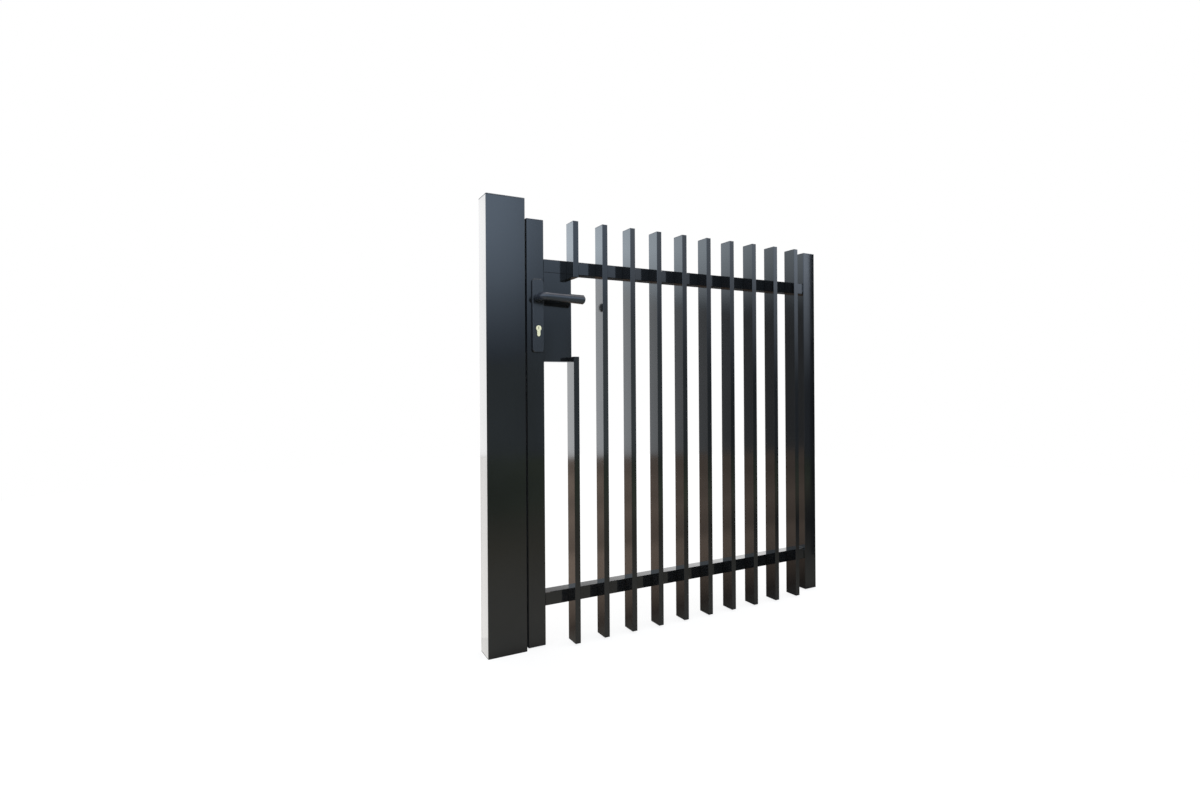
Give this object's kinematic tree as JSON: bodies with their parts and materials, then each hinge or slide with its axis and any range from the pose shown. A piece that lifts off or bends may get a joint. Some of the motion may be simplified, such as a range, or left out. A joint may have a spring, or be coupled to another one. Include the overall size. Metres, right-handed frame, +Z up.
{
  "type": "blade gate",
  "caption": "Pedestrian gate of upright blade tubes on two rails, with a lock post, lever handles, a mortice lock with profile cylinder, a lock box and bolt-on hinges.",
  "frame": {"origin": "on the ground, halfway along the whole gate and in the middle plane of the stiles", "axes": "+Z up; +X along the gate from the lock post to the hinges; +Y to the rear, the side that the leaf opens to; the blades face -Y"},
  "size_m": [1.336, 0.176, 1.345],
  "materials": {
    "gate_coating": "near-black semi-gloss powder coat on aluminium tube",
    "cap_plastic": "black moulded polymer end cap",
    "handle_coating": "black semi-gloss coating on cast aluminium",
    "hinge_coating": "near-black powder coat on steel",
    "stainless_steel": "brushed stainless steel",
    "cylinder_brass": "pale satin brass",
    "bush_polymer": "natural bearing polymer"
  },
  "bodies": {
    "fixed_side": {"lock_post": "gate_coating", "post_cap": "gate_coating", "keep_plate": "stainless_steel", "keep_screws": "stainless_steel", "top_hinge_wall_plate": "hinge_coating", "bottom_hinge_wall_plate": "hinge_coating", "top_hinge_pin": "stainless_steel", "bottom_hinge_pin": "stainless_steel"},
    "leaf": {"blade_01_lower": "gate_coating", "blade_01_upper": "gate_coating", "blade_02": "gate_coating", "blade_03": "gate_coating", "blade_04": "gate_coating", "blade_05": "gate_coating", "blade_06": "gate_coating", "blade_07": "gate_coating", "blade_08": "gate_coating", "blade_09": "gate_coating", "blade_10": "gate_coating", "blade_bottom_caps": "cap_plastic", "blade_top_caps": "cap_plastic", "bottom_hinge_leaf_plate": "hinge_coating", "bottom_rail": "gate_coating", "cut_blade_caps": "cap_plastic", "cylinder_body": "cylinder_brass", "cylinder_screw": "stainless_steel", "forend": "stainless_steel", "forend_screws": "stainless_steel", "front_plate": "handle_coating", "hinge_bushes": "bush_polymer", "hinge_screws": "stainless_steel", "hinge_stile": "gate_coating", "latch_spring": "stainless_steel", "lock_box": "gate_coating", "lock_case": "stainless_steel", "lock_stile": "gate_coating", "plate_bolts": "stainless_steel", "rear_plate": "handle_coating", "stile_bottom_caps": "cap_plastic", "stile_top_caps": "cap_plastic", "top_hinge_leaf_plate": "hinge_coating", "top_rail": "gate_coating"},
    "handle": {"front_lever": "handle_coating", "rear_lever": "handle_coating", "spindle": "stainless_steel", "follower": "stainless_steel", "lever_grub_screws": "stainless_steel"},
    "latch": {"latch_bolt": "stainless_steel"},
    "deadbolt": {"deadbolt": "stainless_steel"},
    "front_key_plug": {"front_plug": "cylinder_brass", "cylinder_cam": "stainless_steel"},
    "rear_key_plug": {"rear_plug": "cylinder_brass"}
  },
  "joints": [
    {"name": "gate_swing", "type": "hinge", "parent": "fixed_side", "child": "leaf", "pos_m": [0.658, 0.036, 0], "axis": [0, 0, -1], "range_deg": [0, 90]},
    {"name": "handle_turn", "type": "hinge", "parent": "leaf", "child": "handle", "pos_m": [-0.506, 0, 1.052], "axis": [0, 1, 0], "range_deg": [0, 40], "stiffness_Nm_per_rad": 1.5, "springref_deg": -34.38},
    {"name": "latch_slide", "type": "slide", "parent": "leaf", "child": "latch", "axis": [1, 0, 0], "range_m": [0, 0.013]},
    {"name": "key_turn", "type": "hinge", "parent": "leaf", "child": "front_key_plug", "pos_m": [-0.506, 0, 0.96], "axis": [0, 1, 0], "range_deg": [0, 360]},
    {"name": "deadbolt_slide", "type": "slide", "parent": "leaf", "child": "deadbolt", "axis": [-1, 0, 0], "range_m": [0, 0.02]},
    {"name": "rear_key_turn", "type": "hinge", "parent": "leaf", "child": "rear_key_plug", "pos_m": [-0.506, 0, 0.96], "axis": [0, 1, 0], "range_deg": [0, 360]}
  ],
  "couplings": [
    {"joint": "latch_slide", "follows": "handle_turn", "m_per_rad": 0.0186},
    {"joint": "key_turn", "follows": "deadbolt_slide", "rad_per_m": 314.16}
  ]
}
